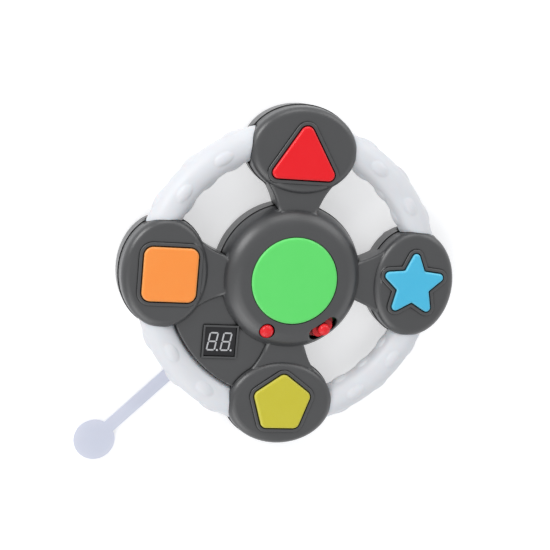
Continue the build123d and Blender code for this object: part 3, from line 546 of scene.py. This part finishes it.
def spring_grower():
    """Sets a plate and a coil on each point, along Y, turned by the point's own angle."""
    grower = Grower("springs", tuple(spring_sizes))
    plate_width, plate_thickness, coil_length, base_radius, tip_radius, wire_radius = grower.sizes
    size = grower.vector(X=plate_width, Y=plate_thickness, Z=plate_width)
    plate = grower.add("GeometryNodeMeshCube", Size=size)
    seated = grower.add("GeometryNodeTransform", Geometry=plate.outputs["Mesh"],
                        Translation=grower.vector(Y=plate_thickness * 0.5))
    coil = grower.add("GeometryNodeCurveSpiral", Resolution=36, Rotations=spring_turns,
                      Start_Radius=base_radius, End_Radius=tip_radius, Height=coil_length)
    section = grower.add("GeometryNodeCurvePrimitiveCircle", Resolution=10, Radius=wire_radius)
    wire = grower.add("GeometryNodeCurveToMesh", Curve=coil.outputs[0],
                      Profile_Curve=section.outputs[0], Fill_Caps=True)
    laid = grower.add("GeometryNodeTransform", Geometry=wire.outputs[0],
                      Rotation=(quarter_turn, 0.0, 0.0))
    spring = grower.add("GeometryNodeJoinGeometry", Geometry=[seated.outputs[0], laid.outputs[0]])
    angle = grower.add("GeometryNodeInputNamedAttribute", {"data_type": "FLOAT"}, Name="turn")
    placed = grower.add("GeometryNodeInstanceOnPoints", Points=grower.given["Geometry"],
                        Instance=spring.outputs[0], Rotation=grower.vector(Z=angle.outputs[0]))
    grower.end(placed.outputs[0])
    return grower


spring_places = []
spring_angles = []
for low, high in loose_solids("battery_springs"):
    middle = (low + high) / 2
    if middle.y > 0:
        plate_face = high.y - spring_sizes["Plate Thickness"]
        spring_angles.append(0.0)
    else:
        plate_face = low.y + spring_sizes["Plate Thickness"]
        spring_angles.append(pi)
    spring_places.append((middle.x, plate_face, middle.z))
spring_points = point_mesh("cell_springs", spring_places)
spring_points.attributes.new("turn", "FLOAT", "POINT").data.foreach_set("value", spring_angles)
coils = grown_piece("cell_springs", spring_grower(), {**spring_sizes, "Finish": nickel}, spring_points)
coils.data.set_sharp_from_angle(angle=radians(35))
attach(coils, "housing")
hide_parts("battery_springs")

# Speaker. A pressed basket, painted black, with a paper cone and a dust cap that face the
# holes in the back, and a magnet behind. Each pair below is a radius and a height.
dust_cap_radius = 0.0036
dust_cap_rim = 0.0044
dust_cap_rise = 0.0012
dust_cap = [(dust_cap_radius * sin(radians(step)), dust_cap_rim - dust_cap_rise * cos(radians(step)))
            for step in range(0, 91, 15)]
cone = [(0.0040, 0.0047), (0.0098, 0.0027)]
surround = [(0.0106, 0.0021), (0.0114, 0.0027), (0.0121, 0.0022), (0.0122, 0.0020)]
basket = [(0.0135, 0.0020), (0.0135, 0.0032), (0.0128, 0.0033), (0.0082, 0.0055)]
magnet = [(0.0080, 0.0057), (0.0080, 0.0083), (0.0078, 0.0085), (0.0, 0.0085)]


def turned_piece(name, profile, centre, steps, material):
    """A closed body of revolution about an upright axis, from its half section."""
    mesh = bpy.data.meshes.new(name)
    lathe = bmesh.new()
    corners = [lathe.verts.new((centre.x + radius, centre.y, height)) for radius, height in profile]
    outline = [lathe.edges.new(pair) for pair in zip(corners, corners[1:])]
    bmesh.ops.spin(lathe, geom=corners + outline, cent=(*centre, 0.0), axis=(0, 0, 1), angle=2 * pi,
                   steps=steps, use_duplicate=False)
    bmesh.ops.remove_doubles(lathe, verts=lathe.verts, dist=weld_reach)
    bmesh.ops.recalc_face_normals(lathe, faces=lathe.faces)
    lathe.to_mesh(mesh)
    lathe.free()
    mesh.shade_smooth()
    mesh.set_sharp_from_angle(angle=radians(30))
    mesh.materials.append(material)
    piece = bpy.data.objects.new(name, mesh)
    bpy.context.scene.collection.objects.link(piece)
    return piece


speaker_black = satin_plastic("black painted basket", (0.02, 0.02, 0.02), (0.03, 0.03, 0.03),
                              roughness=0.5, grain_size=0.0006, grain_depth=0.00002)
low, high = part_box("speaker")
speaker_unit = turned_piece("speaker_unit", dust_cap + cone + surround + basket + magnet,
                            centre=((low + high) / 2).xy, steps=64, material=speaker_black)
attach(speaker_unit, "housing")
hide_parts("speaker")

# Cells. Three small round cells in a plain foil jacket with a copper-coloured band at the end
# with the nub. The middle one lies the other way round. Their bare ends are steel.
cell_half_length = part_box("battery_left")[1].y
cell_nub = 0.0008
cell_rim = 0.0011
cell_band = 0.0105


def cell_jacket(name, nub_side):
    """Printed foil on the barrel, a copper band towards the nub and bare metal at both ends."""
    material, nodes = new_material(name)
    place = nodes.place()
    sideways = nodes.add("ShaderNodeSeparateXYZ", Vector=place).outputs["Y"]
    along = nodes.maths("MULTIPLY", sideways, nub_side)
    can_end = cell_half_length - cell_nub
    banded = nodes.maths("GREATER_THAN", along, can_end - cell_band)
    nub_end = nodes.maths("GREATER_THAN", along, can_end - cell_rim)
    flat_end = nodes.maths("LESS_THAN", along, cell_rim - cell_half_length)
    bare = nodes.maths("MAXIMUM", nub_end, flat_end)
    shade = nodes.noise(place, scale=90.0, detail=2.0)
    foil = nodes.mix(shade, (0.035, 0.045, 0.075), (0.055, 0.065, 0.10))
    printed = nodes.mix(banded, foil, (0.62, 0.30, 0.14))
    nodes.surface(Base_Color=nodes.mix(bare, printed, (0.66, 0.65, 0.63)),
                  Metallic=nodes.maths("MAXIMUM", bare, banded),
                  Roughness=nodes.spread(shade, 0.22, 0.36))
    return material


for side, nub_side in (("left", 1.0), ("middle", -1.0), ("right", 1.0)):
    moulded_piece("cell_" + side, "battery_" + side, "housing",
                  cell_jacket(f"foil jacket of the {side} cell", nub_side))

# Boards. Green fibreglass laminate with copper tracks under the solder mask and tinned pads,
# one board in the hub, one under each lobe and one behind the display.
track_pitch = 0.0016
pad_pitch = 0.0042


def solder_mask(name):
    """Green solder mask, paler where a track runs under it, with round tinned pads."""
    material, nodes = new_material(name)
    place = nodes.place()
    tracks = nodes.add("ShaderNodeTexBrick", Vector=place, Color1=(0.012, 0.095, 0.028, 1.0),
                       Color2=(0.016, 0.115, 0.034, 1.0), Mortar=(0.035, 0.21, 0.06, 1.0), Scale=1.0,
                       Mortar_Size=0.1 * track_pitch, Brick_Width=3.0 * track_pitch,
                       Row_Height=track_pitch).outputs
    spots = nodes.add("ShaderNodeTexVoronoi", {"feature": "F1", "voronoi_dimensions": "2D"},
                      Vector=place, Scale=1.0 / pad_pitch, Randomness=0.55)
    pad = nodes.maths("LESS_THAN", spots.outputs["Distance"], 0.17)
    nodes.surface(Base_Color=nodes.mix(pad, tracks["Color"], (0.66, 0.66, 0.64)), Metallic=pad,
                  Roughness=0.32, Normal=nodes.bump(tracks["Fac"], depth=0.00003), Coat_Weight=0.3)
    return material


laminate = solder_mask("green solder mask")
for shape in ("triangle", "square", "star", "pentagon", "main", "display"):
    moulded_piece(shape + "_laminate", shape + "_board", "housing", laminate)

# Lamps and sound chip. Small lamps of clear resin stand on the boards under the buttons, and
# a bead of black resin on the main board covers the sound chip.
lamp_resin = satin_plastic("clear lamp resin", (0.78, 0.78, 0.74), (0.84, 0.84, 0.80), roughness=0.12,
                           grain_size=0.002, grain_depth=0.000005, coat=0.5, glow=0.3)
chip_black = satin_plastic("black resin bead", (0.012, 0.012, 0.012), (0.02, 0.02, 0.02),
                           roughness=0.18, grain_size=0.002, grain_depth=0.00001, coat=0.5)
for shape in ("triangle", "square", "star", "pentagon", "centre"):
    moulded_piece(shape + "_led", shape + "_lamp", "housing", lamp_resin)
moulded_piece("chip_bead", "sound_chip", "housing", chip_black)

# Ribbon cables. Flat grey cables soldered between the main board and the other boards, each
# with a groove between its wires and a red wire at one edge.


def ribbon_sleeve(name, direction, half_width, wire_pitch):
    """Grey sleeve with grooves along the cable, painted darker in the grooves as painted shade, and red
    over the wire at one edge.
    """
    material, nodes = new_material(name)
    sideways = (-sin(direction), cos(direction), 0.0)
    across = nodes.add("ShaderNodeVectorMath", {"operation": "DOT_PRODUCT"}, at0=nodes.place(),
                       at1=sideways).outputs["Value"]
    ridge = nodes.maths("PINGPONG", nodes.maths("DIVIDE", across, wire_pitch), 0.5)
    first = nodes.maths("GREATER_THAN", across, half_width - wire_pitch)
    # Painted shade: the grooves between the wires are coloured a darker grey.
    painted_groove_shade = nodes.spread(ridge, 0.25, 0.0, from_high=0.2)
    grey = nodes.mix(painted_groove_shade, (0.44, 0.44, 0.45), (0.20, 0.20, 0.21))
    nodes.surface(Base_Color=nodes.mix(first, grey, (0.50, 0.03, 0.03)), Roughness=0.42,
                  Normal=nodes.bump(nodes.maths("SQRT", ridge), depth=0.0003))
    return material


for shape, bearing, half_width, wire_pitch in (
        ("star", 0, 0.0040, 0.0010), ("triangle", 90, 0.0040, 0.0010), ("square", 180, 0.0040, 0.0010),
        ("pentagon", 270, 0.0040, 0.0010), ("display", 225, 0.0024, 0.0012)):
    sleeve = ribbon_sleeve(f"sleeve of the {shape} cable", radians(bearing), half_width, wire_pitch)
    moulded_piece(shape + "_cable", shape + "_ribbon", "housing", sleeve)

# Silicone domes. Soft moulded rings that stand on the boards and carry the caps, with a pad
# under the small button.
silicone = satin_plastic("milky silicone", (0.66, 0.66, 0.63), (0.72, 0.72, 0.69), roughness=0.55,
                         grain_size=0.0008, grain_depth=0.00002, glow=0.3)
for shape in ("triangle", "square", "star", "pentagon", "centre"):
    soft_ring = moulded_piece(shape + "_ring", shape + "_dome", "housing", silicone)
    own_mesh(soft_ring)
soft_pad = moulded_piece("round_cushion", "round_pad", "housing", silicone)
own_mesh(soft_pad)

# The set. A plain pale floor that keeps the toy's shadow, soft lamps around it, a pale room and
# the camera at the photograph's angle. Floor and room look white straight on, in gloss and
# through glass, and give the toy no more light for it.
floor_reach = 6.0
camera_place = (-0.18163, 0.12854, 0.65830)
camera_turn = (-12.232, -14.067, 5.458)


def seen_share(nodes):
    """1 where the ray comes from the camera, a glossy surface or glass, and else 0."""
    path = nodes.add("ShaderNodeLightPath").outputs
    straight = nodes.maths("MAXIMUM", path["Is Camera Ray"], path["Is Glossy Ray"])
    return nodes.maths("MAXIMUM", straight, path["Is Transmission Ray"])


floor_corners = [(side * floor_reach, end * floor_reach, 0.0)
                 for side, end in ((-1, -1), (1, -1), (1, 1), (-1, 1))]
floor_mesh = bpy.data.meshes.new("floor")
floor_mesh.from_pydata(floor_corners, [], [(0, 1, 2, 3)])
floor = bpy.data.objects.new("floor", floor_mesh)
bpy.context.scene.collection.objects.link(floor)
floor_paint, nodes = new_material("pale floor")
speckle = nodes.noise(nodes.place(), scale=3.0, detail=2.0)
paint = nodes.add("ShaderNodeBsdfPrincipled", Roughness=0.8,
                  Base_Color=nodes.mix(speckle, (0.80, 0.80, 0.80), (0.84, 0.84, 0.84))).outputs[0]
added_light = nodes.add("ShaderNodeEmission", Color=(1.0, 1.0, 1.0, 1.0), Strength=0.45)
brighter = nodes.add("ShaderNodeAddShader", at0=paint, at1=added_light.outputs[0])
shown = nodes.add("ShaderNodeMixShader", at0=seen_share(nodes), at1=paint, at2=brighter.outputs[0])
nodes.add("ShaderNodeOutputMaterial", Surface=shown.outputs[0])
floor_mesh.materials.append(floor_paint)

for name, place, size, power in (("key lamp", (-0.86, 0.62, 0.56), 0.56, 6.0),
                                 ("fill lamp", (0.80, 0.80, 0.42), 0.75, 3.2),
                                 ("top lamp", (0.0, 1.10, 0.45), 0.6, 2.6),
                                 ("low lamp", (-0.55, -0.95, 0.45), 0.8, 3.0),
                                 ("right lamp", (0.95, -0.55, 0.42), 0.8, 0.9),
                                 ("high lamp", (-0.35, -0.75, 0.95), 0.9, 2.6)):
    light = bpy.data.lights.new(name, "AREA")
    light.shape = "SQUARE"
    light.size = size
    light.energy = power
    lamp = bpy.data.objects.new(name, light)
    lamp.location = place
    towards_toy = Vector((0, 0, 0)) - Vector(place)
    lamp.rotation_euler = towards_toy.to_track_quat("-Z", "Y").to_euler()
    bpy.context.scene.collection.objects.link(lamp)

world = bpy.data.worlds.new("soft room")
world.use_nodes = True
bpy.context.scene.world = world
nodes = Nodes(world.node_tree)
room = nodes.add("ShaderNodeBackground", Color=(0.93, 0.95, 1.0, 1.0), Strength=0.48)
backdrop = nodes.add("ShaderNodeBackground", Color=(1.0, 1.0, 1.0, 1.0), Strength=1.0)
shown = nodes.add("ShaderNodeMixShader", at0=seen_share(nodes), at1=room.outputs[0],
                  at2=backdrop.outputs[0])
nodes.add("ShaderNodeOutputWorld", Surface=shown.outputs[0])

camera_data = bpy.data.cameras.new("camera")
camera_data.sensor_width = 36.0
camera_data.lens = 92.88
camera_data.clip_start = 0.01
camera = bpy.data.objects.new("camera", camera_data)
camera.location = camera_place
camera.rotation_euler = [radians(angle) for angle in camera_turn]
bpy.context.scene.collection.objects.link(camera)
bpy.context.scene.camera = camera
bpy.context.scene.view_settings.view_transform = "Standard"
